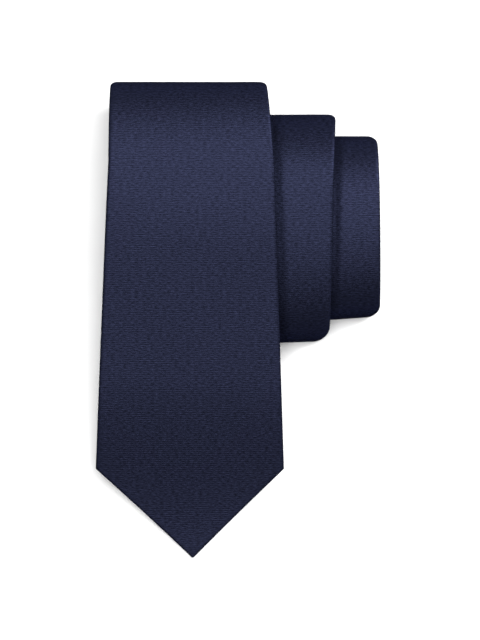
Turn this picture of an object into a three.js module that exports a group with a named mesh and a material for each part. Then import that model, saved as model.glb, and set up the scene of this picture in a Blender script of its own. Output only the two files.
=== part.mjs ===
// Necktie, rolled from the tail end into a flattened, telescoped coil and laid down with the
// front blade on top. Millimetres, +Z up. The coil turns about X; the blade tip points along -Y.
// Every piece follows one wound path in the YZ plane, measured by the length s from the blade tip.
import * as THREE from 'three';

const rad = THREE.MathUtils.degToRad;

// ---- the tie, unrolled ----
const SHELL = 0.25; // silk envelope, one layer
const PLY_GAP = 0.25; // air between silk and interlining, and between stacked turns
const LINING = 0.45; // wool interlining
const BLADE_WIDTH = 80; // widest, across the blade shoulders
const TURN_WIDTH = 65.4; // where the blade turns over the top fold
const NECK_WIDTH = 35;
const TAIL_WIDTH = 40;
const HEM = 6; // silk turned under along the pointed edges
const BACK_OPENING = 62; // blade tip to the bar tack where the back seam starts
const TAIL_OPENING = 42; // the same on the tail
const SEAM_SLIT = 0.7; // half the centre-back slit
const TIP_CUT = 1.2; // blunted points

// ---- how it is rolled ----
const TURNS = 8; // folds at the far (+Y) side
// The first turns are domes: a flat base, low folds, and elliptical sides up to the crest.
// Air is how much of the height under a crest is not cloth.
const DOMES = [
  { crestY: 66, air: 10.1, farY: 100.5, farZ: 18, nearY: -10, nearZ: 5 },
  { crestY: 56, air: 7.7, farY: 87.4, farZ: 8, nearY: 0, nearZ: 7 },
  { crestY: 49.2, air: 7.1, farY: 78.1, farZ: 10 },
];
// The hidden turns are parallel ovals, one pitch apart, round a flat hollow.
const CORE_FAR_PLIES = 3; // room for this many plies between the last dome and their far fold
const CORE_NEAR_GAP = 1; // air between the last near fold of the domes and the stack of theirs
const CORE_RADIUS = 2.5; // last far fold
const CORE_NEAR_RADIUS = 1.9; // tightest near fold
const TAIL_STOP = 5; // tail tip to the centre of that fold
const TOP_SLOPE = rad(12); // blade and hidden turns fall toward the tip by this much
const CROWN_TILT = rad(10); // tilt where a hidden crown runs into its far fold
const CROWN_RADIUS = 110; // first hidden crown
const BLADE_CROWN = 183; // blade crown, from its crest to the slope
const BLADE_KNEE_Y = -24; // the slope ends here and the free end droops to the table
const TIP_Y = -102.1;
const TIP_TILT = rad(6);

// ---- centre line in X, left of the coil to right ----
const X_TIP = -20.2;
const X_SHOULDER = -21.3;
const X_CROWN = -20.3;
const X_FIRST_FOLD = -21.8;
const X_SECOND = [9.8, 14, 16.8]; // second strip: near fold, crown, far fold
const X_THIRD = 38.4;
const X_CORE = 37;

// ---- lengths along the tie ----
const END_HINGE = 97; // the free blade end lifts here
const NECK_SEAM = 740;
const TAIL_SEAM = 1010;
const LINING_JOIN = 870;
const JOINT_GAP = 0.6; // between pieces that swing apart
const BUTT_GAP = 0.3; // between pieces that stay together

const THICK = 2 * SHELL + 2 * PLY_GAP + LINING;
const PITCH = THICK + PLY_GAP;

// ---- wound path -------------------------------------------------------------
const SIN = Math.sin(TOP_SLOPE);
const COS = Math.cos(TOP_SLOPE);
const SPAN = TOP_SLOPE + CROWN_TILT;
const RIGHT = Math.PI / 2;

function polar(centre, radius, tilt) {
  return new THREE.Vector2(centre.x + radius * Math.sin(tilt), centre.y + radius * Math.cos(tilt));
}

// Clockwise arc between two tilts of its normal, measured from straight up toward +Y.
function arc(centre, radiusY, radiusZ, tilt0, tilt1) {
  return new THREE.EllipseCurve(centre.x, centre.y, radiusY, radiusZ, RIGHT - tilt0, RIGHT - tilt1, true);
}

const path = new THREE.CurvePath();
const marks = { far: [], near: [], crown: [], floor: [] };

function run(curve) {
  path.add(curve);
  return path.getLength();
}

function straight(a, b) {
  return run(new THREE.LineCurve(a, b));
}

// Hidden turns, from the outside in: base, sloping top line, crown and far fold.
const domes = DOMES.length;
const coreFarY = DOMES.at(-1).farY - CORE_FAR_PLIES * PITCH;
const coreNearY = DOMES.at(-2).nearY + (TURNS - domes) * PITCH + CORE_NEAR_GAP;
const baseOf = (i) => THICK / 2 + i * PITCH;
const K = SIN + COS + Math.cos(SPAN);
const ovals = [];
for (let i = domes; i < TURNS; i += 1) {
  const deep = i - domes;
  const farRadius = CORE_RADIUS + (TURNS - 1 - i) * PITCH;
  const crown = CROWN_RADIUS - deep * PITCH;
  const farY = coreFarY - THICK / 2 - deep * PITCH;
  const far = new THREE.Vector2(farY - farRadius, baseOf(i) + farRadius);
  const line = farRadius * K + crown * (1 - Math.cos(SPAN)) - SIN * farY + COS * baseOf(i);
  ovals[i] = { far, farRadius, crown, line, top: polar(far, farRadius - crown, CROWN_TILT) };
}

// Near fold that lifts the cloth from a base onto the top line of the next hidden turn.
function nearFold(i) {
  const { line } = ovals[i + 1];
  const nearY = coreNearY + THICK / 2 + (i + 1 - domes) * PITCH;
  const fitted = (line + SIN * nearY - COS * baseOf(i)) / (1 + COS - SIN);
  const radius = Math.max(fitted, CORE_NEAR_RADIUS);
  const low = (radius * (1 + COS - SIN) - line + COS * baseOf(i)) / SIN;
  const edge = fitted < radius ? low : nearY;
  return { radius, centre: new THREE.Vector2(edge + radius, baseOf(i) + radius) };
}

// Top surface of a dome's crest: the plies stacked under it, and the air among them.
const crestZ = (i) => (2 * TURNS - i) * PITCH + DOMES[i].air;

// Blade, from its tip up to the first crest.
const crestCentre = crestZ(0) - THICK / 2;
const bladeCentre = new THREE.Vector2(DOMES[0].crestY, crestCentre - BLADE_CROWN);
const slopeEnd = polar(bladeCentre, BLADE_CROWN, -TOP_SLOPE);
const kneeZ = slopeEnd.y - (slopeEnd.x - BLADE_KNEE_Y) * Math.tan(TOP_SLOPE);
const knee = new THREE.Vector2(BLADE_KNEE_Y, kneeZ);
const tip = new THREE.Vector2(TIP_Y, THICK / 2 + 0.1);
const reach = (BLADE_KNEE_Y - TIP_Y) / 3;
run(new THREE.CubicBezierCurve(
  tip,
  new THREE.Vector2(tip.x + reach, tip.y + reach * Math.tan(TIP_TILT)),
  new THREE.Vector2(knee.x - reach, knee.y - reach * Math.tan(TOP_SLOPE)),
  knee,
));
straight(knee, slopeEnd);
marks.crown.push(run(arc(bladeCentre, BLADE_CROWN, BLADE_CROWN, -TOP_SLOPE, 0)));

// Far fold of turn i: down from its crown to its base.
function farFold(i) {
  if (i >= domes) {
    const { far, farRadius } = ovals[i];
    marks.far.push(path.getLength() + farRadius * (RIGHT - CROWN_TILT));
    marks.floor.push(run(arc(far, farRadius, farRadius, CROWN_TILT, Math.PI)));
    return far.x;
  }
  const dome = DOMES[i];
  const edge = dome.farY - THICK / 2;
  const side = new THREE.Vector2(dome.crestY, dome.farZ);
  const fall = crestZ(i) - THICK / 2 - dome.farZ;
  marks.far.push(run(arc(side, edge - dome.crestY, fall, 0, RIGHT)));
  const radius = dome.farZ - baseOf(i);
  const low = new THREE.Vector2(edge - radius, dome.farZ);
  marks.floor.push(run(arc(low, radius, radius, RIGHT, Math.PI)));
  return low.x;
}

// Near fold of turn i, then up onto the next turn as far as the end of its crown.
function climb(i) {
  if (i + 1 < domes) {
    const dome = DOMES[i];
    const next = DOMES[i + 1];
    const edge = dome.nearY + THICK / 2;
    const radius = dome.nearZ - baseOf(i);
    const low = new THREE.Vector2(edge + radius, dome.nearZ);
    marks.near.push(run(arc(low, radius, radius, Math.PI, 3 * RIGHT)));
    const side = new THREE.Vector2(next.crestY, dome.nearZ);
    const rise = crestZ(i + 1) - THICK / 2 - dome.nearZ;
    marks.crown.push(run(arc(side, next.crestY - edge, rise, 3 * RIGHT, 4 * RIGHT)));
    return;
  }
  const { radius, centre } = nearFold(i);
  const next = ovals[i + 1];
  marks.near.push(path.getLength() + radius * RIGHT);
  run(arc(centre, radius, radius, Math.PI, 2 * Math.PI - TOP_SLOPE));
  straight(polar(centre, radius, -TOP_SLOPE), polar(next.top, next.crown, -TOP_SLOPE));
  marks.crown.push(run(arc(next.top, next.crown, next.crown, -TOP_SLOPE, CROWN_TILT)));
}

function floorEnd(i) {
  if (i === TURNS - 1) {
    return nearFold(i - 1).centre.x + TAIL_STOP;
  }
  if (i + 1 < domes) {
    return DOMES[i].nearY + THICK / 2 + DOMES[i].nearZ - baseOf(i);
  }
  return nearFold(i).centre.x;
}

for (let i = 0; i < TURNS; i += 1) {
  const start = new THREE.Vector2(farFold(i), baseOf(i));
  straight(start, new THREE.Vector2(floorEnd(i), baseOf(i)));
  if (i + 1 < TURNS) {
    climb(i);
  }
}
const LENGTH = path.getLength();
const FRONT_HINGE = marks.crown[0];

// Stations: every 15 degrees of turn, and no further apart than 14 mm, or 7 mm on a dome's side.
const stations = [];
let walked = 0;
path.curves.forEach((curve) => {
  const length = curve.getLength();
  const turned = curve.isEllipseCurve ? Math.abs(curve.aEndAngle - curve.aStartAngle) : 0;
  const spacing = curve.xRadius === curve.yRadius ? 14 : 7;
  const steps = Math.max(1, Math.ceil(turned / rad(15) - 0.01), Math.ceil(length / spacing));
  for (let i = 1; i <= steps; i += 1) {
    stations.push(walked + (length * i) / steps);
  }
  walked += length;
});

function frameAt(s) {
  const t = THREE.MathUtils.clamp(s / LENGTH, 0, 1);
  const here = path.getPoint(t);
  const step = 0.02 / LENGTH;
  const a = path.getPoint(Math.max(0, t - step));
  const b = path.getPoint(Math.min(1, t + step));
  const along = b.sub(a).normalize();
  return { y: here.x, z: here.y, ny: -along.y, nz: along.x };
}

// ---- width and sideways position along the tie --------------------------------
function table(keys, s) {
  if (s <= keys[0][0]) {
    return keys[0][1];
  }
  for (let i = 1; i < keys.length; i += 1) {
    const [s1, v1] = keys[i];
    if (s <= s1) {
      const [s0, v0] = keys[i - 1];
      return v0 + ((v1 - v0) * (s - s0)) / (s1 - s0);
    }
  }
  return keys.at(-1)[1];
}

const SHOULDER = BLADE_WIDTH / 2;
const TAIL_SHOULDER = LENGTH - TAIL_WIDTH / 2;
const floorRun = (i, part) => THREE.MathUtils.lerp(marks.floor[i], marks.near[i], part);

const halfWidths = [
  [0, 0],
  [SHOULDER, BLADE_WIDTH / 2],
  [marks.far[0], TURN_WIDTH / 2],
  [marks.near[0], 28],
  [marks.crown[1], 25],
  [marks.far[1], 24],
  [marks.near[1], 21],
  [marks.far[2], 19.5],
  [NECK_SEAM, 18.5],
  [LINING_JOIN, NECK_WIDTH / 2],
  [TAIL_SEAM, NECK_WIDTH / 2],
  [TAIL_SHOULDER, TAIL_WIDTH / 2],
  [LENGTH, 0],
];

const centres = [
  [0, X_TIP],
  [SHOULDER, X_SHOULDER],
  [marks.crown[0], X_CROWN],
  [marks.far[0], X_FIRST_FOLD],
  [marks.floor[0] + 2, X_FIRST_FOLD],
  [floorRun(0, 0.75), X_SECOND[0]],
  [marks.near[0], X_SECOND[0]],
  [marks.crown[1], X_SECOND[1]],
  [marks.far[1], X_SECOND[2]],
  [marks.floor[1] + 2, X_SECOND[2]],
  [floorRun(1, 0.8), X_THIRD],
  [marks.far[2], X_THIRD],
  [marks.near[2], X_CORE],
];

const halfWidth = (s) => table(halfWidths, s);
const centreX = (s) => table(centres, s);

// Half of the opening at the back: the seam slit, wider where the points are hemmed.
function backOpening(s) {
  const h = halfWidth(s);
  const slit = Math.min(SEAM_SLIT, 0.45 * h);
  const hem = h - HEM;
  const tailS = LENGTH - s;
  if (s < BACK_OPENING) {
    const wide = SHOULDER - HEM;
    const closing = wide * (BACK_OPENING - s) / (BACK_OPENING - SHOULDER);
    return Math.max(slit, Math.min(hem, closing));
  }
  if (tailS < TAIL_OPENING) {
    const wide = TAIL_WIDTH / 2 - HEM;
    const closing = wide * (TAIL_OPENING - tailS) / (TAIL_OPENING - TAIL_WIDTH / 2);
    return Math.max(slit, Math.min(hem, closing));
  }
  return slit;
}

const features = [
  HEM + SEAM_SLIT,
  SHOULDER,
  BACK_OPENING,
  LENGTH - TAIL_OPENING,
  TAIL_SHOULDER,
  LENGTH - HEM - SEAM_SLIT,
];
const allStations = [...stations, ...features].sort((a, b) => a - b);

function between(s0, s1) {
  const inner = allStations.filter((s) => s > s0 + 0.4 && s < s1 - 0.4);
  const kept = inner.filter((s, i) => i === 0 || s - inner[i - 1] > 0.2);
  return [s0, ...kept, s1];
}

// ---- solids -----------------------------------------------------------------
const group = new THREE.Group();
group.name = 'necktie';

function material(color, roughness) {
  return new THREE.MeshStandardMaterial({ color, roughness, metalness: 0 });
}

function place(s, u, n) {
  const f = frameAt(s);
  return [centreX(s) + u, f.y + n * f.ny, f.z + n * f.nz];
}

// Closed solid through equal rings of [u, n] points listed anticlockwise.
function loft(name, list, ring, mat) {
  const rings = list.map((s) => ring(s));
  const count = rings[0].length;
  const points = [];
  rings.forEach((r, j) => {
    r.forEach(([u, n]) => points.push(...place(list[j], u, n)));
  });
  const faces = [];
  const cap = (j, flip) => {
    const contour = rings[j].map(([u, n]) => new THREE.Vector2(u, n));
    THREE.ShapeUtils.triangulateShape(contour, []).forEach(([a, b, c]) => {
      const o = j * count;
      faces.push(...(flip ? [o + a, o + c, o + b] : [o + a, o + b, o + c]));
    });
  };
  cap(0, false);
  cap(rings.length - 1, true);
  for (let j = 0; j + 1 < rings.length; j += 1) {
    for (let i = 0; i < count; i += 1) {
      const k = (i + 1) % count;
      const a = j * count + i;
      const b = j * count + k;
      const c = a + count;
      const d = b + count;
      faces.push(a, c, b, b, c, d);
    }
  }
  const geometry = new THREE.BufferGeometry();
  geometry.setAttribute('position', new THREE.Float32BufferAttribute(points, 3));
  geometry.setIndex(faces);
  geometry.computeVertexNormals();
  const mesh = new THREE.Mesh(geometry, mat);
  mesh.name = name;
  group.add(mesh);
  return mesh;
}

const TOP = THICK / 2;
const BACK = -THICK / 2;

// Folded envelope: front face, two folded edges, two wings that nearly meet at the back.
function envelopeRing(s) {
  const h = halfWidth(s);
  const e = backOpening(s);
  const i = h - SHELL;
  const c = Math.min(0.35, 0.25 * h);
  return [
    [-e, BACK],
    [-e, BACK + SHELL],
    [-i, BACK + SHELL],
    [-i, TOP - SHELL],
    [i, TOP - SHELL],
    [i, BACK + SHELL],
    [e, BACK + SHELL],
    [e, BACK],
    [h - c, BACK],
    [h, BACK + c],
    [h, TOP - c],
    [h - c, TOP],
    [c - h, TOP],
    [-h, TOP - c],
    [-h, BACK + c],
    [c - h, BACK],
  ];
}

function slab(u0, u1, n0, n1) {
  return [[u0, n0], [u1, n0], [u1, n1], [u0, n1]];
}

function envelope(name, s0, s1, color) {
  loft(name, between(s0, s1), envelopeRing, material(color, 0.55));
}

function lining(name, s0, s1) {
  const side = SHELL + PLY_GAP;
  const ring = (s) => {
    const h = halfWidth(s) - side;
    return slab(-h, h, -LINING / 2, LINING / 2);
  };
  loft(name, between(s0, s1), ring, material(0xd9d2c2, 0.95));
}

function tipping(name, s0, s1, color) {
  const ring = (s) => {
    const h = backOpening(s) - BUTT_GAP;
    return slab(-h, h, BACK, BACK + SHELL);
  };
  loft(name, between(s0, s1), ring, material(color, 0.5));
}

function stitch(name, s0, s1) {
  const h = SEAM_SLIT - BUTT_GAP;
  loft(name, between(s0, s1), () => slab(-h, h, BACK, BACK + SHELL), material(0x20222f, 0.7));
}

// Flat piece on the back of the tie, reaching out from the wings by the given heights.
function backPatch(name, s0, s1, half, near, far, mat, shift = 0) {
  const ring = () => slab(shift - half, shift + half, BACK - far, BACK - near);
  loft(name, between(s0, s1), ring, mat);
}

// Band across the back, standing off it in the middle and lying on it at both ends.
function backBand(name, s0, s1, half, stand, thick, mat) {
  const low = BACK - PLY_GAP;
  const foot = half - 5;
  const ring = () => [
    [-half, low - thick],
    [-foot, low - thick],
    [3 - foot, low - stand - thick],
    [foot - 3, low - stand - thick],
    [foot, low - thick],
    [half, low - thick],
    [half, low],
    [foot, low],
    [foot - 3, low - stand],
    [3 - foot, low - stand],
    [-foot, low],
    [-half, low],
  ];
  loft(name, between(s0, s1), ring, mat);
}

// Loose loop of thread lying along the back opening.
function threadLoop(name, middle, mat) {
  const low = BACK - PLY_GAP - 0.25;
  const oval = new THREE.EllipseCurve(0, 0, 1.6, 4.5, 0, 2 * Math.PI);
  const ring = oval.getPoints(16).slice(0, -1).map((p) => {
    return new THREE.Vector3(...place(middle + p.y, p.x, low));
  });
  const loop = new THREE.CatmullRomCurve3(ring, true);
  const mesh = new THREE.Mesh(new THREE.TubeGeometry(loop, 24, 0.2, 5, true), mat);
  mesh.name = name;
  group.add(mesh);
}

const NAVY = 0x2f3247;
const thread = material(0x20222f, 0.7);
const half = JOINT_GAP / 2;

envelope('blade_shell_end', TIP_CUT, END_HINGE - half, NAVY);
envelope('blade_shell_front', END_HINGE + half, FRONT_HINGE - half, NAVY);
envelope('blade_shell_rolled', FRONT_HINGE + half, NECK_SEAM - JOINT_GAP, NAVY);
envelope('blade_neck_seam', NECK_SEAM - half, NECK_SEAM + half, 0x1d1f2e);
envelope('neck_shell', NECK_SEAM + JOINT_GAP, TAIL_SEAM - JOINT_GAP, NAVY);
envelope('neck_tail_seam', TAIL_SEAM - half, TAIL_SEAM + half, 0x1d1f2e);
envelope('tail_shell', TAIL_SEAM + JOINT_GAP, LENGTH - TIP_CUT, NAVY);

lining('interlining_end', HEM, END_HINGE - half);
lining('interlining_front', END_HINGE + half, FRONT_HINGE - half);
lining('interlining_rolled', FRONT_HINGE + half, LINING_JOIN - half);
lining('tail_interlining', LINING_JOIN + half, LENGTH - HEM);

tipping('blade_tipping', HEM + 2, BACK_OPENING - 1, 0x262a44);
tipping('tail_tipping', LENGTH - TAIL_OPENING + 1, LENGTH - HEM - 2, 0x262a44);

stitch('slip_stitch_end', BACK_OPENING + 0.6, END_HINGE - half);
stitch('slip_stitch_front', END_HINGE + half, FRONT_HINGE - half);
stitch('slip_stitch_rolled', FRONT_HINGE + half, LENGTH - TAIL_OPENING - 0.6);

backPatch('blade_bar_tack', BACK_OPENING + 0.5, BACK_OPENING + 2.3, 4, PLY_GAP, 0.65, thread);
backPatch('tail_bar_tack', LENGTH - TAIL_OPENING - 2.3, LENGTH - TAIL_OPENING - 0.5, 4, PLY_GAP, 0.65, thread);
threadLoop('blade_slack_loop', BACK_OPENING - 5.5, thread);
threadLoop('tail_slack_loop', LENGTH - TAIL_OPENING + 5.5, thread);

const KEEPER = FRONT_HINGE - 8; // keeper loop, then the label below it
backBand('keeper_loop', KEEPER - 5, KEEPER + 5, 26, 0.55, 0.3, material(NAVY, 0.55));
const keeperFoot = PLY_GAP + 0.3 + PLY_GAP;
backPatch('keeper_tack_left', KEEPER - 4, KEEPER + 4, 0.5, keeperFoot, keeperFoot + 0.3, thread, -24);
backPatch('keeper_tack_right', KEEPER - 4, KEEPER + 4, 0.5, keeperFoot, keeperFoot + 0.3, thread, 24);
backPatch('maker_label', KEEPER - 45, KEEPER - 13, 24, PLY_GAP, 0.6, material(0x3a3f5c, 0.5));
const careStart = marks.crown[TURNS - 1] - 48;
backPatch('care_label', careStart, careStart + 26, 11, PLY_GAP, 0.6, material(0xe4e2dc, 0.7));

// The origin sits under the middle of the rolled tie, on the surface it lies on.
const box = new THREE.Box3().setFromObject(group);
const middle = box.getCenter(new THREE.Vector3());
group.position.set(-middle.x, -middle.y, -box.min.z);

export default group;
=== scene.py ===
"""Navy silk necktie, rolled into a stepped coil and laid on a pale surface with its blade on top.

Lengths below are in millimetres and become metres in place(). Every piece follows the wound
path of the CAD frame: s runs along the tie from the blade tip, u across it, n out of its face.
"""

import bisect
import math

import bpy
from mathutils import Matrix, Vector, noise


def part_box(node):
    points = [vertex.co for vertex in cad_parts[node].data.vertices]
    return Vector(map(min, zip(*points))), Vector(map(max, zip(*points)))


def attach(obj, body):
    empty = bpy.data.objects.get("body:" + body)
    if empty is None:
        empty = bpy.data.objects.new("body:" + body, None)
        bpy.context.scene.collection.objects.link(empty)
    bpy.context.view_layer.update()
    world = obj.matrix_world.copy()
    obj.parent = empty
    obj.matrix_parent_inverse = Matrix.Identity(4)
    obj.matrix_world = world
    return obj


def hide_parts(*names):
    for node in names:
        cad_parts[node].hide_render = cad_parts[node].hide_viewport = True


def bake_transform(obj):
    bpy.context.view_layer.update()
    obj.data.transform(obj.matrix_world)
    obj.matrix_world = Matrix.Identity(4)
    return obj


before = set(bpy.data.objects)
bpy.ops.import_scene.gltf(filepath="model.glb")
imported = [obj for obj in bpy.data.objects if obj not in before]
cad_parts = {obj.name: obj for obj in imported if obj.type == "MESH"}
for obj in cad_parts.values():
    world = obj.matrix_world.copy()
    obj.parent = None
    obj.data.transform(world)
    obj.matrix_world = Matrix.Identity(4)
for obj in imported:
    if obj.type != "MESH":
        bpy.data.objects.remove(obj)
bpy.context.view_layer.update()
MM = 0.001

# ---- the tie, unrolled ----
SHELL = 0.25
PLY_GAP = 0.25
LINING = 0.45
BLADE_WIDTH = 80
TURN_WIDTH = 65.4
NECK_WIDTH = 35
TAIL_WIDTH = 40
HEM = 6
BACK_OPENING = 62
TAIL_OPENING = 42
THICK = 2 * SHELL + 2 * PLY_GAP + LINING
PITCH = THICK + PLY_GAP
TOP = THICK / 2
BACK = -THICK / 2

# ---- how it is rolled ----
TURNS = 8
DOMES = (
    {"crest": (66, 16 * PITCH + 10.1), "far": (100.5, 18), "near": (-10, 5)},
    {"crest": (56, 15 * PITCH + 7.7), "far": (87.4, 8), "near": (0, 7)},
    {"crest": (49.2, 14 * PITCH + 7.1), "far": (78.1, 10)},
)
CORE_FAR_Y = DOMES[2]["far"][0] - 3 * PITCH
CORE_NEAR_Y = DOMES[1]["near"][0] + 5 * PITCH + 1
CORE_RADIUS = 2.5
CORE_NEAR_RADIUS = 1.9
TAIL_STOP = 5
TOP_SLOPE = math.radians(12)
CROWN_TILT = math.radians(10)
CROWN_RADIUS = 110
BLADE_CROWN = 183
BLADE_KNEE_Y = -24
TIP_Y = -102.1
TIP_TILT = math.radians(6)

# ---- centre line in X ----
X_TIP = -20.2
X_SHOULDER = -21.3
X_CROWN = -20.3
X_FIRST_FOLD = -21.8
X_SECOND = (9.8, 14, 16.8)
X_THIRD = 38.4
X_CORE = 37

# ---- lengths along the tie ----
END_HINGE = 97
END_BEND = 9  # reach of the bend to each side of the hinge; bend_end only takes the face there, nothing is bent
END_CUT = 140  # silk panels of the two moving lengths meet here
NECK_SEAM = 740
TAIL_SEAM = 1010
LINING_JOIN = 870
TIP_GAP = 0.4  # the silk stops this short of the two mathematical tips

# ---- details of the cloth ----
SEAM_SLIT = 0.06  # half of the gap between the two wings
TIPPING_SLIT = 0.25
TIPPING_TUCK = 3  # how far the tipping runs in under the wings
EDGE_ROLL = 1.5  # how far in from its folded edge the envelope starts to round off
BIAS = 0.8  # slant of the seams that join the silk's panels, along over across
BIAS_FADE = 60
RIB_PERIOD = 0.92
BEND_RELIEF = 2  # the wool draws in by this much at a bend, fading over the reach
BEND_RELIEF_REACH = 14

SIN = math.sin(TOP_SLOPE)
COS = math.cos(TOP_SLOPE)
SPAN = TOP_SLOPE + CROWN_TILT


# ---- wound path in the YZ plane ------------------------------------------------
def polar(centre, radius, tilt):
    """Place on a circle, by the angle from straight up toward +Y."""
    return (centre[0] + radius * math.sin(tilt), centre[1] + radius * math.cos(tilt))


class Straight:
    """Straight run between two places."""

    turned = 0

    def __init__(self, a, b):
        self.a, self.b = a, b
        self.length = math.dist(a, b)

    def at(self, d):
        t = d / self.length
        y = self.a[0] + (self.b[0] - self.a[0]) * t
        z = self.a[1] + (self.b[1] - self.a[1]) * t
        ty = (self.b[0] - self.a[0]) / self.length
        tz = (self.b[1] - self.a[1]) / self.length
        return y, z, -tz, ty


class Walked:
    """Curve walked by arc length through a table of points."""

    STEPS = 240
    turned = 0.6

    def measure(self):
        self.table = [0.0]
        last = self.point(0)
        for i in range(1, self.STEPS + 1):
            here = self.point(i / self.STEPS)
            self.table.append(self.table[-1] + math.dist(last, here))
            last = here
        self.length = self.table[-1]

    def at(self, d):
        i = min(max(bisect.bisect_right(self.table, d) - 1, 0), self.STEPS - 1)
        t = (i + (d - self.table[i]) / (self.table[i + 1] - self.table[i])) / self.STEPS
        y, z = self.point(t)
        a, b = self.point(t - 0.001), self.point(t + 0.001)
        size = math.dist(a, b)
        return y, z, -(b[1] - a[1]) / size, (b[0] - a[0]) / size


class Arc(Walked):
    """Clockwise elliptical arc; tilt is its normal's angle from straight up toward +Y."""

    def __init__(self, centre, radius_y, radius_z, tilt0, tilt1):
        self.centre, self.radii, self.tilt0 = centre, (radius_y, radius_z), tilt0
        self.turned = tilt1 - tilt0
        self.measure()

    def point(self, t):
        tilt = self.tilt0 + self.turned * t
        y = self.centre[0] + self.radii[0] * math.sin(tilt)
        return y, self.centre[1] + self.radii[1] * math.cos(tilt)


class Droop(Walked):
    """Cubic curve of the blade's free end."""

    def __init__(self, *points):
        self.points = points
        self.measure()

    def point(self, t):
        w = ((1 - t) ** 3, 3 * t * (1 - t) ** 2, 3 * t * t * (1 - t), t ** 3)
        return tuple(sum(w[i] * self.points[i][axis] for i in range(4)) for axis in (0, 1))


def base_of(i):
    """Height of the centre line along the bottom of turn i."""
    return THICK / 2 + i * PITCH


def hidden_turns():
    """Far fold, crown and sloping top line of each hidden oval turn, from the outside in."""
    k = SIN + COS + math.cos(SPAN)
    turns = {}
    for i in range(len(DOMES), TURNS):
        deep = i - len(DOMES)
        r = CORE_RADIUS + (TURNS - 1 - i) * PITCH
        crown = CROWN_RADIUS - deep * PITCH
        far_y = CORE_FAR_Y - THICK / 2 - deep * PITCH
        far = (far_y - r, base_of(i) + r)
        line = r * k + crown * (1 - math.cos(SPAN)) - SIN * far_y + COS * base_of(i)
        turns[i] = {"far": far, "radius": r, "crown": crown, "line": line,
                    "top": polar(far, r - crown, CROWN_TILT)}
    return turns


def near_fold(turns, i):
    """Centre and radius of the near fold that lifts the cloth onto the next hidden turn."""
    line = turns[i + 1]["line"]
    near_y = CORE_NEAR_Y + THICK / 2 + (i + 1 - len(DOMES)) * PITCH
    k = 1 + COS - SIN
    radius = (line + SIN * near_y - COS * base_of(i)) / k
    if radius < CORE_NEAR_RADIUS:
        radius = CORE_NEAR_RADIUS
        near_y = (radius * k - line + COS * base_of(i)) / SIN
    return (near_y + radius, base_of(i) + radius), radius


def wound_path():
    """Segments of the path, and where each fold and crown lies along it."""
    turns = hidden_turns()
    segments, marks = [], {"crown": [], "far": [], "floor": [], "near": []}
    right = math.pi / 2
    outer = THICK / 2

    def walked():
        return sum(x.length for x in segments)

    def run(segment):
        segments.append(segment)
        return walked()

    def far_fold(i):
        if i >= len(DOMES):
            turn = turns[i]
            r = turn["radius"]
            marks["far"].append(walked() + r * (right - CROWN_TILT))
            marks["floor"].append(run(Arc(turn["far"], r, r, CROWN_TILT, math.pi)))
            return turn["far"][0]
        (crest_y, crest_z), (far_y, far_z) = DOMES[i]["crest"], DOMES[i]["far"]
        edge = far_y - outer
        side = (crest_y, far_z)
        marks["far"].append(run(Arc(side, edge - crest_y, crest_z - outer - far_z, 0, right)))
        r = far_z - base_of(i)
        marks["floor"].append(run(Arc((edge - r, far_z), r, r, right, math.pi)))
        return edge - r

    def climb(i):
        if i + 1 < len(DOMES):
            near_y, near_z = DOMES[i]["near"]
            crest_y, crest_z = DOMES[i + 1]["crest"]
            edge, r = near_y + outer, near_z - base_of(i)
            marks["near"].append(run(Arc((edge + r, near_z), r, r, math.pi, 3 * right)))
            rise = crest_z - outer - near_z
            side = (crest_y, near_z)
            marks["crown"].append(run(Arc(side, crest_y - edge, rise, 3 * right, 4 * right)))
            return
        centre, r = near_fold(turns, i)
        inner = turns[i + 1]
        marks["near"].append(walked() + r * right)
        run(Arc(centre, r, r, math.pi, 2 * math.pi - TOP_SLOPE))
        run(Straight(polar(centre, r, -TOP_SLOPE), polar(inner["top"], inner["crown"], -TOP_SLOPE)))
        crown = inner["crown"]
        marks["crown"].append(run(Arc(inner["top"], crown, crown, -TOP_SLOPE, CROWN_TILT)))

    def floor_end(i):
        if i == TURNS - 1:
            return near_fold(turns, i - 1)[0][0] + TAIL_STOP
        if i + 1 < len(DOMES):
            near_y, near_z = DOMES[i]["near"]
            return near_y + outer + near_z - base_of(i)
        return near_fold(turns, i)[0][0]

    crest_y, crest_z = DOMES[0]["crest"]
    blade_centre = (crest_y, crest_z - outer - BLADE_CROWN)
    slope_end = polar(blade_centre, BLADE_CROWN, -TOP_SLOPE)
    knee = (BLADE_KNEE_Y, slope_end[1] - (slope_end[0] - BLADE_KNEE_Y) * math.tan(TOP_SLOPE))
    tip = (TIP_Y, outer + 0.1)
    reach = (BLADE_KNEE_Y - TIP_Y) / 3
    near_tip = (tip[0] + reach, tip[1] + reach * math.tan(TIP_TILT))
    near_knee = (knee[0] - reach, knee[1] - reach * math.tan(TOP_SLOPE))
    run(Droop(tip, near_tip, near_knee, knee))
    run(Straight(knee, slope_end))
    marks["crown"].append(run(Arc(blade_centre, BLADE_CROWN, BLADE_CROWN, -TOP_SLOPE, 0)))
    for i in range(TURNS):
        start = (far_fold(i), base_of(i))
        run(Straight(start, (floor_end(i), base_of(i))))
        if i + 1 < TURNS:
            climb(i)
    return segments, marks


segments, marks = wound_path()
LENGTH = sum(x.length for x in segments)
FRONT_HINGE = marks["crown"][0]
FRONT_BEND = (8, 7)  # reach of the bend before and after the hinge; bend_front only takes the face there, nothing is bent
FRONT_CUT = FRONT_HINGE + 9  # the front panel ends here, before the top fold
SHOULDER = BLADE_WIDTH / 2
TAIL_SHOULDER = LENGTH - TAIL_WIDTH / 2


def frame_at(s):
    """Place and outward normal of the centre line: y, z, normal y, normal z."""
    s = min(max(s, 0), LENGTH)
    for segment in segments:
        if s <= segment.length:
            return segment.at(s)
        s -= segment.length
    return segments[-1].at(segments[-1].length)


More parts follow.
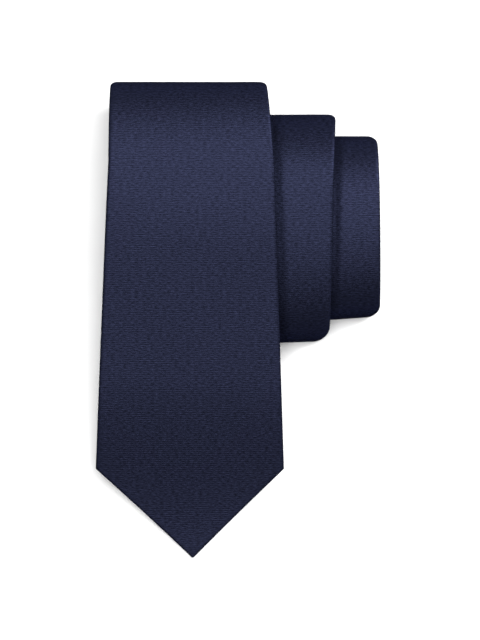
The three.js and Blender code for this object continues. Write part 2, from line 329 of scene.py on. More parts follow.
def table(keys, s):
    """Straight-line reading of (place, value) pairs."""
    if s <= keys[0][0]:
        return keys[0][1]
    for (s0, v0), (s1, v1) in zip(keys, keys[1:]):
        if s <= s1:
            return v0 + (v1 - v0) * (s - s0) / (s1 - s0)
    return keys[-1][1]


def floor_run(i, part):
    """Place on the bottom run of turn i, from 0 at its far end to 1 at its near fold."""
    return marks["floor"][i] + (marks["near"][i] - marks["floor"][i]) * part


HALF_WIDTHS = [
    (0, 0),
    (SHOULDER, BLADE_WIDTH / 2),
    (marks["far"][0], TURN_WIDTH / 2),
    (marks["near"][0], 28),
    (marks["crown"][1], 25),
    (marks["far"][1], 24),
    (marks["near"][1], 21),
    (marks["far"][2], 19.5),
    (NECK_SEAM, 18.5),
    (LINING_JOIN, NECK_WIDTH / 2),
    (TAIL_SEAM, NECK_WIDTH / 2),
    (TAIL_SHOULDER, TAIL_WIDTH / 2),
    (LENGTH, 0),
]
CENTRES = [
    (0, X_TIP),
    (SHOULDER, X_SHOULDER),
    (marks["crown"][0], X_CROWN),
    (marks["far"][0], X_FIRST_FOLD),
    (marks["floor"][0] + 2, X_FIRST_FOLD),
    (floor_run(0, 0.75), X_SECOND[0]),
    (marks["near"][0], X_SECOND[0]),
    (marks["crown"][1], X_SECOND[1]),
    (marks["far"][1], X_SECOND[2]),
    (marks["floor"][1] + 2, X_SECOND[2]),
    (floor_run(1, 0.8), X_THIRD),
    (marks["far"][2], X_THIRD),
    (marks["near"][2], X_CORE),
]

# Folds whose pressed corners are rounded: place along the tie and corner radius.
CORNERS = (
    (marks["far"][0], 1.6),
    (marks["near"][0], 5.5),
    (marks["far"][1], 2.2),
    (marks["near"][1], 4.2),
    (marks["far"][2], 3.2),
    (marks["near"][2], 4.0),
)


CORNER_REACH = 20


def corner_inset(s):
    """How far a rounded fold corner draws the edge in."""
    for fold, radius in CORNERS:
        if abs(s - fold) < CORNER_REACH:
            depth = abs(frame_at(s)[0] - frame_at(fold)[0])
            if depth < radius:
                return radius - math.sqrt(radius ** 2 - (radius - depth) ** 2)
    return 0


def half_width(s):
    """Half of the tie's width, less any rounded corner."""
    return table(HALF_WIDTHS, s) - corner_inset(s)


def back_opening(s, slit):
    """Half of the opening at the back: the seam slit, wider where the points are hemmed."""
    h = half_width(s)
    slit = min(slit, 0.45 * h)
    for from_tip, opening, shoulder in (
        (s, BACK_OPENING, SHOULDER),
        (LENGTH - s, TAIL_OPENING, TAIL_WIDTH / 2),
    ):
        if from_tip < opening:
            closing = (shoulder - HEM) * (opening - from_tip) / (opening - shoulder)
            return max(slit, min(h - HEM, closing))
    return slit


# The frame's origin is under the middle of the rolled tie.
SHIFT_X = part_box("blade_shell_end")[0][0] / MM - (X_SHOULDER - BLADE_WIDTH / 2)
SHIFT_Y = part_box("blade_shell_rolled")[1][1] / MM - DOMES[0]["far"][0]

# The near folds of the two stepped turns lie a little askew: place, slope across the tie.
SKEWS = ((marks["near"][0], 0.035), (marks["near"][1], 0.07))
SKEW_REACH = 30


def skew(s):
    """Slope in Y of the line across the tie at s."""
    return sum(slope * math.exp(-(((s - fold) / SKEW_REACH) ** 2)) for fold, slope in SKEWS)


# A stepped turn sinks where the turn above lies across it: depth, and reach past that edge.
SINK = 1.3
SINK_REACH = 4.2
SINK_FADE = 15  # along the tie, toward the folds at both ends of the run


def edge_line(s0, s1, steps=24):
    """Right-hand edge of a visible run, as (y, x) places."""
    line = []
    for i in range(steps + 1):
        s = s0 + (s1 - s0) * i / steps
        line.append((frame_at(s)[0], table(CENTRES, s) + table(HALF_WIDTHS, s)))
    return line


CROSSED = (
    (marks["near"][0], marks["far"][1], edge_line(SHOULDER, marks["far"][0])),
    (marks["near"][1], marks["far"][2], edge_line(marks["near"][0], marks["far"][1])),
)


def sink(s, u, y):
    """How far the silk is pressed in by the turn that lies across it."""
    for s0, s1, line in CROSSED:
        if s0 < s < s1:
            past = (table(CENTRES, s) + u - table(line, y)) / SINK_REACH
            t = min(max(1 - past, 0), 1)
            ends = min(1, (s - s0) / SINK_FADE, (s1 - s) / SINK_FADE)
            return SINK * t * t * (3 - 2 * t) * ends
    return 0


def place(s, u, n):
    """Place in metres of a point on the tie."""
    y, z, ny, nz = frame_at(s)
    n -= sink(s, u, y)
    y += u * skew(s)
    x = table(CENTRES, s) + u + SHIFT_X
    return Vector((x, y + n * ny + SHIFT_Y, z + n * nz)) * MM


CORNER_STEP = 0.8
CORNER_STEPS = 14
CLOSEST = 0.2  # stations nearer to each other than this are merged


def stations(s0, s1, spacing=3.0, turn=math.radians(6)):
    """Places along the tie, closer together where it turns."""
    found, walked = [s0], 0
    for segment in segments:
        steps = max(1, math.ceil(segment.length / spacing), math.ceil(segment.turned / turn))
        for i in range(steps):
            s = walked + segment.length * i / steps
            if s0 + 0.5 < s < s1 - 0.5:
                found.append(s)
        walked += segment.length
    extra = [HEM + 1, SHOULDER, BACK_OPENING, LENGTH - TAIL_OPENING, TAIL_SHOULDER]
    for fold, _ in CORNERS:
        extra += [fold + i * CORNER_STEP for i in range(-CORNER_STEPS, CORNER_STEPS + 1)]
    found += [s for s in extra if s0 + 0.5 < s < s1 - 0.5]
    found.append(s1)
    kept = [s0]
    for s in sorted(found[1:]):
        if s - kept[-1] > CLOSEST or s == s1:
            kept.append(s)
    return kept


# ---- materials --------------------------------------------------------------------
class Nodes:
    """Short way to write a node tree."""

    def __init__(self, name):
        self.material = bpy.data.materials.new(name)
        self.material.use_nodes = True
        self.tree = self.material.node_tree
        self.shader = self.tree.nodes["Principled BSDF"]

    def add(self, kind, inputs=None, **settings):
        node = self.tree.nodes.new("ShaderNode" + kind)
        for key, value in settings.items():
            setattr(node, key, value)
        for key, value in (inputs or {}).items():
            self.feed(node.inputs[key], value)
        return node

    def feed(self, socket, value):
        if isinstance(value, bpy.types.NodeSocket):
            self.tree.links.new(value, socket)
        else:
            socket.default_value = value

    def math(self, operation, a, b=0.0, c=0.0):
        node = self.add("Math", operation=operation)
        for socket, value in zip(node.inputs, (a, b, c)):
            self.feed(socket, value)
        return node.outputs[0]

    def mix(self, factor, a, b):
        node = self.add("Mix", data_type="RGBA")  # its colour sockets are 6, 7 and output 2
        self.feed(node.inputs[0], factor)
        self.feed(node.inputs[6], a)
        self.feed(node.inputs[7], b)
        return node.outputs[2]

    def noise(self, vector, scale, detail=2.0, rough=0.5):
        inputs = {"Vector": vector, "Scale": scale, "Detail": detail, "Roughness": rough}
        return self.add("TexNoise", inputs).outputs["Fac"]

    def stretched(self, vector, across, along):
        node = self.add("Mapping", {"Vector": vector, "Scale": (across, along, 1)})
        return node.outputs[0]

    def ramp(self, value, low, high):
        inputs = {"Value": value, "From Min": low, "From Max": high}
        return self.add("MapRange", inputs).outputs[0]

    def set(self, **values):
        for key, value in values.items():
            self.feed(self.shader.inputs[key.replace("_", " ")], value)


def rib(n, along, period):
    """Rounded ribs across the cloth, from 0 in the grooves to 1 on the crests."""
    wave = n.math("SINE", n.math("MULTIPLY", along, 2 * math.pi / period))
    return n.math("MULTIPLY_ADD", wave, 0.5, 0.5)


def silk_material(name, dark, light):
    """Ribbed satin: fine ribs across the tie, each broken into short uneven floats."""
    n = Nodes(name)
    uv = n.add("UVMap", uv_map="weave").outputs[0]
    split = n.add("SeparateXYZ", {"Vector": uv})
    wander = n.noise(n.stretched(uv, 0.12, 0.05), 1.0)
    along = n.math("MULTIPLY_ADD", wander, 0.5, split.outputs[1])
    ribs = rib(n, along, RIB_PERIOD)
    floats = n.ramp(n.noise(n.stretched(uv, 0.6, 2.2), 1.0, 3.0, 0.6), 0.32, 0.68)
    slubs = n.noise(n.stretched(uv, 0.25, 1.2), 1.0, 2.0)
    clouds = n.noise(n.stretched(uv, 0.03, 0.03), 1.0, 3.0)
    tone = n.math("MULTIPLY_ADD", ribs, 0.18, n.math("MULTIPLY", floats, 0.72))
    tone = n.math("ADD", tone, n.math("MULTIPLY", slubs, 0.16))
    tone = n.math("ADD", tone, n.math("MULTIPLY", clouds, 0.1))
    tone = n.ramp(tone, 0.32, 1.0)
    colour = n.mix(tone, dark, light)
    height = n.math("MULTIPLY_ADD", ribs, 0.3, n.math("MULTIPLY", floats, 0.7))
    bump = n.add("Bump", {"Strength": 0.55, "Distance": 0.00012, "Height": height})
    n.set(Base_Color=colour, Roughness=n.math("MULTIPLY_ADD", floats, 0.08, 0.41))
    # Satin floats mirror light in the thread's own colour, and less at a glance along them.
    n.set(Normal=bump.outputs[0], Metallic=0.6, Specular_IOR_Level=0.0)
    n.set(Specular_Tint=(0.12, 0.12, 0.16, 1))
    return n.material


def lining_material():
    """Smooth lining silk with a fine diagonal twill."""
    n = Nodes("tipping_twill")
    uv = n.add("UVMap", uv_map="weave").outputs[0]
    split = n.add("SeparateXYZ", {"Vector": uv})
    slant = n.math("ADD", split.outputs[0], split.outputs[1])
    lines = rib(n, slant, 0.55)
    mottle = n.noise(n.stretched(uv, 1.4, 1.4), 1.0, 3.0)
    tone = n.math("MULTIPLY_ADD", lines, 0.5, n.math("MULTIPLY", mottle, 0.5))
    bump = n.add("Bump", {"Strength": 0.35, "Distance": 0.00006, "Height": tone})
    n.set(Base_Color=n.mix(tone, (0.006, 0.0075, 0.02, 1), (0.016, 0.02, 0.05, 1)))
    n.set(Roughness=0.55, Normal=bump.outputs[0], Specular_IOR_Level=0.06)
    return n.material


def wool_material():
    """Napped interlining cloth in plain weave."""
    n = Nodes("interlining_wool")
    uv = n.add("UVMap", uv_map="weave").outputs[0]
    split = n.add("SeparateXYZ", {"Vector": uv})
    grid = n.math("MULTIPLY", rib(n, split.outputs[0], 1.1), rib(n, split.outputs[1], 1.1))
    fuzz = n.noise(n.stretched(uv, 2.2, 2.2), 1.0, 5.0, 0.7)
    tone = n.math("MULTIPLY_ADD", grid, 0.3, n.math("MULTIPLY", fuzz, 0.7))
    bump = n.add("Bump", {"Strength": 0.8, "Distance": 0.0003, "Height": tone})
    n.set(Base_Color=n.mix(tone, (0.5, 0.46, 0.38, 1), (0.78, 0.74, 0.65, 1)))
    n.set(Roughness=0.95, Normal=bump.outputs[0], Sheen_Weight=0.4)
    return n.material


def thread_material():
    """Twisted sewing thread."""
    n = Nodes("silk_thread")
    here = n.add("TexCoord").outputs["Object"]
    twist = n.add("TexWave", {"Vector": here, "Scale": 900.0, "Distortion": 1.5})
    twist.wave_type = "BANDS"
    twist.bands_direction = "DIAGONAL"
    bump = n.add("Bump", {"Strength": 0.6, "Distance": 0.0001, "Height": twist.outputs["Fac"]})
    dark, light = (0.008, 0.009, 0.019, 1), (0.035, 0.04, 0.075, 1)
    n.set(Base_Color=n.mix(twist.outputs["Fac"], dark, light))
    n.set(Roughness=0.55, Normal=bump.outputs[0], Specular_IOR_Level=0.1)
    return n.material


BORDER = 0.7


def label_material(name, ground, border, half, height, edge):
    """Blank woven label: satin ground inside a narrow border."""
    n = Nodes(name)
    uv = n.add("UVMap", uv_map="weave").outputs[0]
    split = n.add("SeparateXYZ", {"Vector": uv})
    from_side = n.math("SUBTRACT", half, n.math("ABSOLUTE", split.outputs[0]))
    from_end = n.math("SUBTRACT", height / 2, n.math("ABSOLUTE", split.outputs[1]))
    inset = n.math("MINIMUM", from_side, from_end)
    outside = n.math("GREATER_THAN", inset, edge)
    inside = n.math("LESS_THAN", inset, edge + BORDER)
    ring = n.math("MULTIPLY", outside, inside)
    picks = n.math("MULTIPLY", rib(n, split.outputs[0], 0.4), rib(n, split.outputs[1], 0.32))
    mottle = n.noise(n.stretched(uv, 1.5, 3.0), 1.0, 3.0)
    tone = n.math("MULTIPLY_ADD", picks, 0.5, n.math("MULTIPLY", mottle, 0.5))
    low = tuple(c * 0.7 for c in ground) + (1,)
    colour = n.mix(tone, low, (*ground, 1))
    height_map = n.math("MULTIPLY_ADD", ring, 0.6, tone)
    bump = n.add("Bump", {"Strength": 0.5, "Distance": 0.00008, "Height": height_map})
    n.set(Base_Color=n.mix(ring, colour, (*border, 1)), Roughness=0.45, Normal=bump.outputs[0])
    n.set(Sheen_Weight=0.04, Specular_IOR_Level=0.2)
    return n.material


SILK = silk_material("navy_ribbed_silk", (0.0055, 0.0063, 0.013, 1), (0.0165, 0.019, 0.04, 1))
# Darker copy of the ribbed silk for the seams: painted shade in the seam's groove.
SEAM_SHADE_SILK = silk_material("silk_seam_painted_shade", (0.002, 0.0025, 0.006, 1), (0.006, 0.008, 0.018, 1))
TIPPING = lining_material()
WOOL = wool_material()
THREAD = thread_material()


# ---- builders -----------------------------------------------------------------------
def mesh_piece(name, points, faces, material, uvs=None, smooth=True):
    """Object from points and faces, with weave coordinates in millimetres."""
    mesh = bpy.data.meshes.new(name)
    mesh.from_pydata(points, [], faces)
    mesh.validate()
    if uvs:
        layer = mesh.uv_layers.new(name="weave")
        for loop in mesh.loops:
            layer.data[loop.index].uv = uvs[loop.vertex_index]
    for face in mesh.polygons:
        face.use_smooth = smooth
    mesh.materials.append(material)
    piece = bpy.data.objects.new(name, mesh)
    bpy.context.scene.collection.objects.link(piece)
    return piece


def along_tie(s, u, girth):
    """Weave coordinates of the tie's own cloth."""
    return girth, s


def across_tie(s, u, girth):
    """Weave coordinates of a band laid across the tie."""
    return girth, u


def grid_piece(name, rows, material, weave=along_tie, back=False, tube=False):
    """Sheet through rows of (s, u, n, girth) points; girth is the distance across the cloth.

    A sheet that faces the back has its faces turned; a tube is closed round and at both ends.
    """
    points, uvs, faces = [], [], []
    for row in rows:
        for s, u, n, girth in row:
            points.append(place(s, u, n))
            uvs.append(weave(s, u, girth))
    count = len(rows[0])
    for j in range(len(rows) - 1):
        for i in range(count if tube else count - 1):
            a, b = j * count + i, j * count + (i + 1) % count
            faces.append((a, b, b + count, a + count) if back else (a, a + count, b + count, b))
    if tube:
        faces.append(tuple(range(count)))
        faces.append(tuple(reversed(range(len(points) - count, len(points)))))
    return mesh_piece(name, points, faces, material, uvs)


OPEN_RIPPLE = 0.2
PRESSED_RIPPLE = 0.06
FINE_RIPPLE = 0.025


def ripple(s, u, front):
    """Slight unevenness of pressed cloth, in millimetres; more where nothing lies on it."""
    open_face = front and s < marks["far"][2]
    broad = noise.noise(Vector((s * 0.024, u * 0.03, 3.1)))
    small = noise.noise(Vector((s * 0.09, u * 0.08, 7.7)))
    return (OPEN_RIPPLE if open_face else PRESSED_RIPPLE) * broad + FINE_RIPPLE * small


FRONT_COLUMNS = 21
EDGE_COLUMNS = 8
WING_COLUMNS = 9
TURN_IN = 0.3


def silk_section(s):
    """Folded silk at s: (u, n, girth) from one back edge round the front to the other."""
    h = half_width(s)
    e = back_opening(s, SEAM_SLIT)
    r = min(TOP, 0.8 * h)
    roll = min(EDGE_ROLL, 0.8 * h)
    flat = max(h - roll, 0.001)
    half = []
    for i in range(FRONT_COLUMNS + 1):  # from the middle out, closer together at the edge
        t = 1 - (1 - i / FRONT_COLUMNS) ** 1.25
        half.append((flat * t, r))
    for i in range(1, EDGE_COLUMNS + 1):
        a = math.pi / 2 - math.pi * i / EDGE_COLUMNS
        half.append((flat + roll * math.cos(a), r * math.sin(a)))
    for i in range(1, WING_COLUMNS + 1):
        half.append((flat + (e - flat) * (i / WING_COLUMNS), -r))
    half.append((e, -r + min(TURN_IN, 0.5 * r)))
    girth, walked = [0.0], 0.0
    for a, b in zip(half, half[1:]):
        walked += math.dist(a, b)
        girth.append(walked)
    right = [(u, n, g) for (u, n), g in zip(half, girth)]
    left = [(-u, n, -g) for u, n, g in reversed(right[1:])]
    return left + right


def silk_rows(s0, s1, bias0, bias1):
    """Sections of one silk panel; an end that is a bias seam slants, and the slant fades."""
    rows = []
    for s in stations(s0, s1):
        row = []
        for u, n, girth in silk_section(s):
            here = s
            for seam in (bias0, bias1):
                if seam is not None:
                    fade = max(0, 1 - abs(s - seam) / BIAS_FADE)
                    here += u * BIAS * fade
            lift = ripple(here, girth, n > 0) if abs(n) > 0.3 * TOP else 0
            row.append((here, u, n + math.copysign(lift, n), girth))
        rows.append(row)
    return rows


def cloth(rows):
    """Measure the flat size that a sheet's rows span; the result is not used."""
    widths = [row[-1][3] - row[0][3] for row in rows]
    lengths = [row[len(row) // 2][0] for row in rows]
    area = 0
    for j in range(len(rows) - 1):
        area += (widths[j] + widths[j + 1]) / 2 * (lengths[j + 1] - lengths[j])
    width, length = max(widths) * MM, (lengths[-1] - lengths[0]) * MM
    area = min(area * MM * MM, width * length)


def face_at(s):
    """Place on the face of the tie, in its middle."""
    return tuple(place(s, 0, TOP))


# Each piece is settled on its body by one of these; a piece at a hinge only has its transform
# baked.
def on_end(piece):
    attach(piece, "blade_end")


def on_front(piece):
    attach(piece, "front_blade")


def on_roll(piece):
    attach(piece, "roll")


def bend_end(piece):
    start, end = face_at(END_HINGE - END_BEND), face_at(END_HINGE + END_BEND)
    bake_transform(piece)


def bend_front(piece):
    start, end = face_at(FRONT_HINGE - FRONT_BEND[0]), face_at(FRONT_HINGE + FRONT_BEND[1])
    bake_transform(piece)


def stand_for(piece, node, settle):
    """Hide the CAD solid that a piece takes over, and settle the piece."""
    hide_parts(node)
    settle(piece)


# ---- silk envelope --------------------------------------------------------------------
def envelope(name, node, s0, s1, settle, bias0=None, bias1=None):
    """One panel of the folded silk."""
    rows = silk_rows(s0, s1, bias0, bias1)
    piece = grid_piece(name, rows, SILK)
    stand_for(piece, node, settle)
    cloth(rows)


envelope("blade_silk_end", "blade_shell_end", TIP_GAP, END_CUT, bend_end)
envelope("blade_silk_front", "blade_shell_front", END_CUT, FRONT_CUT, bend_front)
envelope("blade_silk_rolled", "blade_shell_rolled", FRONT_CUT, NECK_SEAM, on_roll, bias1=NECK_SEAM)
envelope("neck_silk", "neck_shell", NECK_SEAM, TAIL_SEAM, on_roll, bias0=NECK_SEAM, bias1=TAIL_SEAM)
envelope("tail_silk", "tail_shell", TAIL_SEAM, LENGTH - TIP_GAP, on_roll, bias0=TAIL_SEAM)


def seam_ridge(name, node, seam):
    """Bias seam: a narrow sunken line round the envelope, in darker silk that is painted shade in
    its groove.
    """
    rows = []
    for offset, proud in ((-0.5, 0.05), (0, 0.03), (0.5, 0.05)):
        row = []
        for u, n, girth in silk_section(seam):
            out = n + math.copysign(proud, n)
            row.append((seam + offset + u * BIAS, u * 1.004, out, girth))
        rows.append(row)
    stand_for(grid_piece(name, rows, SEAM_SHADE_SILK), node, on_roll)


seam_ridge("blade_neck_bias_seam", "blade_neck_seam", NECK_SEAM)
seam_ridge("neck_tail_bias_seam", "neck_tail_seam", TAIL_SEAM)


# ---- interlining and tipping --------------------------------------------------------------
BAND_COLUMNS = 8
BAND_SPACING = 5.0
BAND_TURN = math.radians(12)


def band(name, node, ends, half, n, material, settle):
    """Flat strip inside the envelope, n off the centre line."""
    rows = []
    for s in stations(*ends, BAND_SPACING, BAND_TURN):
        across = [half(s) * (2 * i / BAND_COLUMNS - 1) for i in range(BAND_COLUMNS + 1)]
        rows.append([(s, u, n, u) for u in across])
    piece = grid_piece(name, rows, material)
    stand_for(piece, node, settle)
    cloth(rows)


def lining_half(s):
    """Half the wool's width, clear of the silk's rounded corners and of the two bends."""
    corner = max(corner_inset(s + step) for step in (-6, -3, 0, 3, 6))
    bend = max(0, 1 - min(abs(s - END_HINGE), abs(s - FRONT_HINGE)) / BEND_RELIEF_REACH)
    clear = corner + BEND_RELIEF * bend + SHELL + PLY_GAP
    return max(table(HALF_WIDTHS, s) - clear, 0.5)


def tipping_half(s):
    """Half the tipping's width: the opening and a tuck under each wing."""
    tucked = back_opening(s, TIPPING_SLIT) + TIPPING_TUCK
    return min(tucked, max(half_width(s) - 1, 0.3))


def wool(name, node, s0, s1, settle):
    """One length of the interlining."""
    band(name, node, (s0, s1), lining_half, 0, WOOL, settle)


def tipping(name, node, s0, s1, settle):
    """Lining that closes the hemmed opening at a point, just under the wings."""
    depth = BACK + 0.22
    band(name, node, (s0, s1), tipping_half, depth, TIPPING, settle)


wool("wool_end", "interlining_end", HEM, END_CUT, bend_end)
wool("wool_front", "interlining_front", END_CUT, FRONT_CUT, bend_front)
wool("wool_rolled", "interlining_rolled", FRONT_CUT, LINING_JOIN, on_roll)
wool("wool_tail", "tail_interlining", LINING_JOIN, LENGTH - HEM, on_roll)
tipping("blade_tipping_silk", "blade_tipping", 3, BACK_OPENING + 4, on_end)
tipping("tail_tipping_silk", "tail_tipping", LENGTH - TAIL_OPENING - 4, LENGTH - 3, on_roll)


# ---- thread -----------------------------------------------------------------------------
STITCH = 0.17  # radii of the threads
TACK = 0.24
LOOP = 0.2
KEEPER_STITCH = 0.15
TIGHT = 0.55  # a thread's end is drawn in to this part of its radius
ASKEW = Vector((0.31, 0.52, 0.79))  # along no thread, so it can start every thread's frame


def thread(points, radius, sides, closed):
    """Points and faces of a round thread through the given places."""
    verts, faces = [], []
    count = len(points)
    for j, point in enumerate(points):
        ahead = points[(j + 1) % count] if closed or j + 1 < count else point
        behind = points[j - 1] if closed or j > 0 else point
        along = (ahead - behind).normalized()
        side = along.cross(ASKEW).normalized()
        up = side.cross(along)
        tight = TIGHT if not closed and j in (0, count - 1) else 1
        for i in range(sides):
            a = 2 * math.pi * i / sides
            verts.append(point + (side * math.cos(a) + up * math.sin(a)) * radius * tight)
    for j in range(count if closed else count - 1):
        for i in range(sides):
            k = (i + 1) % sides
            a, b = j * sides + i, j * sides + k
            c, d = ((j + 1) % count) * sides + i, ((j + 1) % count) * sides + k
            faces.append((a, b, d, c))
    if not closed:
        faces.append(tuple(reversed(range(sides))))
        faces.append(tuple((count - 1) * sides + i for i in range(sides)))
    return verts, faces


def threads(name, node, routes, radius, settle, closed=False, sides=6):
    """One piece made of many short threads."""
    verts, faces = [], []
    for route in routes:
        places, rings = thread([place(*p) for p in route], radius * MM, sides, closed)
        faces.extend(tuple(i + len(verts) for i in ring) for ring in rings)
        verts.extend(places)
    stand_for(mesh_piece(name, verts, faces, THREAD), node, settle)


def slip_stitches(s0, s1, step=6.0):
    """Short slanted stitches that draw the two wings together."""
    high, low = BACK + 0.1, BACK - 0.06
    routes = []
    for i in range(int((s1 - s0) / step)):
        s = s0 + step * (i + 0.5)
        start, end = (s, -0.9, high), (s + 1.2, 0.9, high)
        routes.append([start, (s + 0.3, -0.5, low), (s + 0.9, 0.5, low), end])
    return routes


def bar_tack(s, half=4, wraps=16):
    """A bar of close wrapping stitches across the seam."""
    low = BACK - 0.34
    routes = []
    for i in range(wraps + 1):
        u = half * (2 * i / wraps - 1)
        v = u + 0.15
        start, end = (s - 0.9, u, BACK), (s + 0.9, v, BACK)
        routes.append([start, (s - 0.6, u, low), (s + 0.6, v, low), end])
    return routes


def slack_loop(s, steps=24):
    """The spare loop that lets the seam thread run."""
    ring = []
    for i in range(steps):
        a = 2 * math.pi * i / steps
        ring.append((s + 4.5 * math.sin(a), 1.6 * math.cos(a), BACK - 0.35))
    return [ring]


BLADE_TACK = BACK_OPENING + 1.4
TAIL_TACK = LENGTH - TAIL_OPENING - 1.4
BLADE_LOOP = slack_loop(BACK_OPENING - 5.5)
TAIL_LOOP = slack_loop(LENGTH - TAIL_OPENING + 5.5)
END_SEAM = slip_stitches(BACK_OPENING + 3, END_CUT)
FRONT_SEAM = slip_stitches(END_CUT, FRONT_CUT)
ROLLED_SEAM = slip_stitches(FRONT_CUT, LENGTH - TAIL_OPENING - 3)
threads("stitches_end", "slip_stitch_end", END_SEAM, STITCH, bend_end)
threads("stitches_front", "slip_stitch_front", FRONT_SEAM, STITCH, bend_front)
threads("stitches_rolled", "slip_stitch_rolled", ROLLED_SEAM, STITCH, on_roll, sides=4)
threads("blade_tack", "blade_bar_tack", bar_tack(BLADE_TACK), TACK, on_end)
threads("tail_tack", "tail_bar_tack", bar_tack(TAIL_TACK), TACK, on_roll)
threads("blade_thread_loop", "blade_slack_loop", BLADE_LOOP, LOOP, on_end, closed=True)
threads("tail_thread_loop", "tail_slack_loop", TAIL_LOOP, LOOP, on_roll, closed=True)


# ---- keeper loop and labels ----------------------------------------------------------------
KEEPER = FRONT_HINGE - 8
KEEPER_HALF = 26
KEEPER_WIDTH = 10
KEEPER_FOOT = 5  # stitched length at each end, then a rise to the open loop
KEEPER_RISE = 4
KEEPER_STEPS = 60
KEEPER_SIDES = 20


def keeper_height(u):
    """How far the band stands off the back of the blade."""
    foot = KEEPER_HALF - KEEPER_FOOT
    t = min(max((foot - abs(u)) / KEEPER_RISE, 0), 1)
    return 0.2 + 0.62 * t * t * (3 - 2 * t)


def keeper_loop():
    """Flat tube of the tie's own silk, stitched down at both ends."""
    rows = []
    for i in range(KEEPER_STEPS + 1):
        u = KEEPER_HALF * (2 * i / KEEPER_STEPS - 1)
        low = BACK - keeper_height(u)
        row = []
        for j in range(KEEPER_SIDES):
            a = 2 * math.pi * j / KEEPER_SIDES
            across = math.copysign(abs(math.cos(a)) ** 0.35, math.cos(a)) * KEEPER_WIDTH / 2
            row.append((KEEPER + across, u, low - 0.17 + 0.17 * math.sin(a), across))
        rows.append(row)
    piece = grid_piece("keeper_band", rows, SILK, across_tie, back=True, tube=True)
    stand_for(piece, "keeper_loop", on_front)


keeper_loop()


def tack_line(u):
    """Stitches through the end of the keeper band."""
    low = BACK - keeper_height(u) - 0.4
    high = low + 0.15
    routes = []
    for i in range(5):
        s = KEEPER - 4 + 1.9 * i
        routes.append([(s, u, high), (s + 0.3, u, low), (s + 1.0, u, low), (s + 1.3, u, high)])
    return routes


LEFT_TACK = tack_line(-KEEPER_HALF + 2)
RIGHT_TACK = tack_line(KEEPER_HALF - 2)
threads("keeper_stitches_left", "keeper_tack_left", LEFT_TACK, KEEPER_STITCH, on_front)
threads("keeper_stitches_right", "keeper_tack_right", RIGHT_TACK, KEEPER_STITCH, on_front)

LABEL_COLUMNS = 16
LABEL_SPACING = 2.0
LABEL_THICKNESS = 0.2
LABEL_EDGE = 3.0  # the label rises from the tie over this width


def label(name, node, start, half, height, material, settle):
    """Blank label lying on the back of the tie."""
    middle = (start + start + height) / 2
    rows = []
    for s in stations(start, start + height, LABEL_SPACING):
        row = []
        for i in range(LABEL_COLUMNS + 1):
            u = half * (2 * i / LABEL_COLUMNS - 1)
            edge = min(s - start, start + height - s, half - abs(u), LABEL_EDGE)
            low = 0.3 + 0.12 * math.sin(edge / LABEL_EDGE * math.pi / 2)
            low += 0.05 * noise.noise(Vector((s * 0.2, u * 0.15, 11.0)))
            row.append((s, u, BACK - low, u))
        rows.append(row)
    piece = grid_piece(name, rows, material, lambda s, u, girth: (girth, s - middle), back=True)
    thicken = piece.modifiers.new("thickness", "SOLIDIFY")
    thicken.thickness = LABEL_THICKNESS * MM
    thicken.offset = -1
    stand_for(piece, node, settle)


MAKER_HALF = 24
MAKER_HEIGHT = 32
MAKER_START = KEEPER - 45
CARE_HALF = 11
CARE_HEIGHT = 26
CARE_START = marks["crown"][TURNS - 1] - 48
NAVY, SILVER = (0.03, 0.036, 0.085), (0.2, 0.21, 0.26)
WHITE, GREY = (0.72, 0.71, 0.67), (0.6, 0.59, 0.56)
WOVEN = label_material("blank_woven_label", NAVY, SILVER, MAKER_HALF, MAKER_HEIGHT, 1.6)
TAPE = label_material("blank_care_tape", WHITE, GREY, CARE_HALF, CARE_HEIGHT, 1.0)
label("maker_label_woven", "maker_label", MAKER_START, MAKER_HALF, MAKER_HEIGHT, WOVEN,
      on_front)
label("care_label_tape", "care_label", CARE_START, CARE_HALF, CARE_HEIGHT, TAPE,
      on_roll)


# ---- surface, light and camera -----------------------------------------------------------------
FLOOR_HALF = 4.0
WORLD_STRENGTH = 0.08


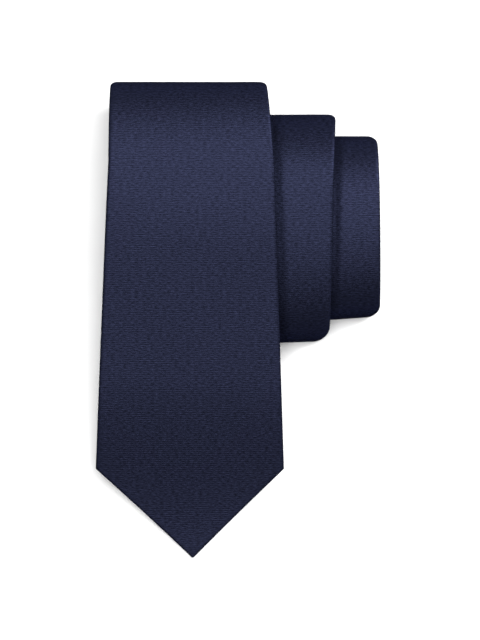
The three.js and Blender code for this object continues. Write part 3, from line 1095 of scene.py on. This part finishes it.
def floor():
    """Plain pale surface under the tie."""
    n = Nodes("pale_surface")
    grain = n.noise(n.add("TexCoord").outputs["Object"], 40.0, 4.0)
    n.set(Base_Color=n.mix(grain, (0.7, 0.7, 0.7, 1), (0.73, 0.73, 0.73, 1)), Roughness=0.9)
    corners = [(x * FLOOR_HALF, y * FLOOR_HALF, 0) for x, y in ((-1, -1), (1, -1), (1, 1), (-1, 1))]
    piece = mesh_piece("floor", corners, [(0, 1, 2, 3)], n.material, smooth=False)


def area_light(name, place_at, target, size, power):
    """Rectangular softbox aimed at a place; metres and watts."""
    data = bpy.data.lights.new(name, "AREA")
    data.shape = "RECTANGLE"
    data.size, data.size_y = size
    data.energy = power
    light = bpy.data.objects.new(name, data)
    bpy.context.scene.collection.objects.link(light)
    light.location = place_at
    aim = Vector(target) - Vector(place_at)
    light.rotation_euler = aim.to_track_quat("-Z", "Y").to_euler()


def lights():
    """Three softboxes and a faint even world."""
    area_light("softbox_overhead", (0.0, 0.25, 1.7), (0, 0, 0), (1.2, 1.3), 24)
    area_light("softbox_wide", (0.0, 0.35, 1.5), (0, 0.35, 0), (1.4, 2.4), 34)
    area_light("softbox_side", (1.2, 0.9, 1.0), (0, 0, 0), (0.7, 0.7), 48)
    world = bpy.data.worlds.new("studio")
    world.use_nodes = True
    background = world.node_tree.nodes["Background"]
    background.inputs["Color"].default_value = (1, 1, 1, 1)
    background.inputs["Strength"].default_value = WORLD_STRENGTH
    bpy.context.scene.world = world
    bpy.context.scene.view_settings.view_transform = "Standard"


CAMERA_HEIGHT = 1.2
FRAME_HEIGHT = 0.2743  # what the camera sees at the surface, top to bottom
SENSOR = 36


def camera():
    """Camera straight above the tie."""
    data = bpy.data.cameras.new("camera")
    data.sensor_width = SENSOR
    data.lens = SENSOR * CAMERA_HEIGHT / FRAME_HEIGHT
    data.clip_end = 20
    eye = bpy.data.objects.new("camera", data)
    eye.location = (SHIFT_X * MM, SHIFT_Y * MM, CAMERA_HEIGHT)
    bpy.context.scene.collection.objects.link(eye)
    bpy.context.scene.camera = eye


floor()
lights()
camera()
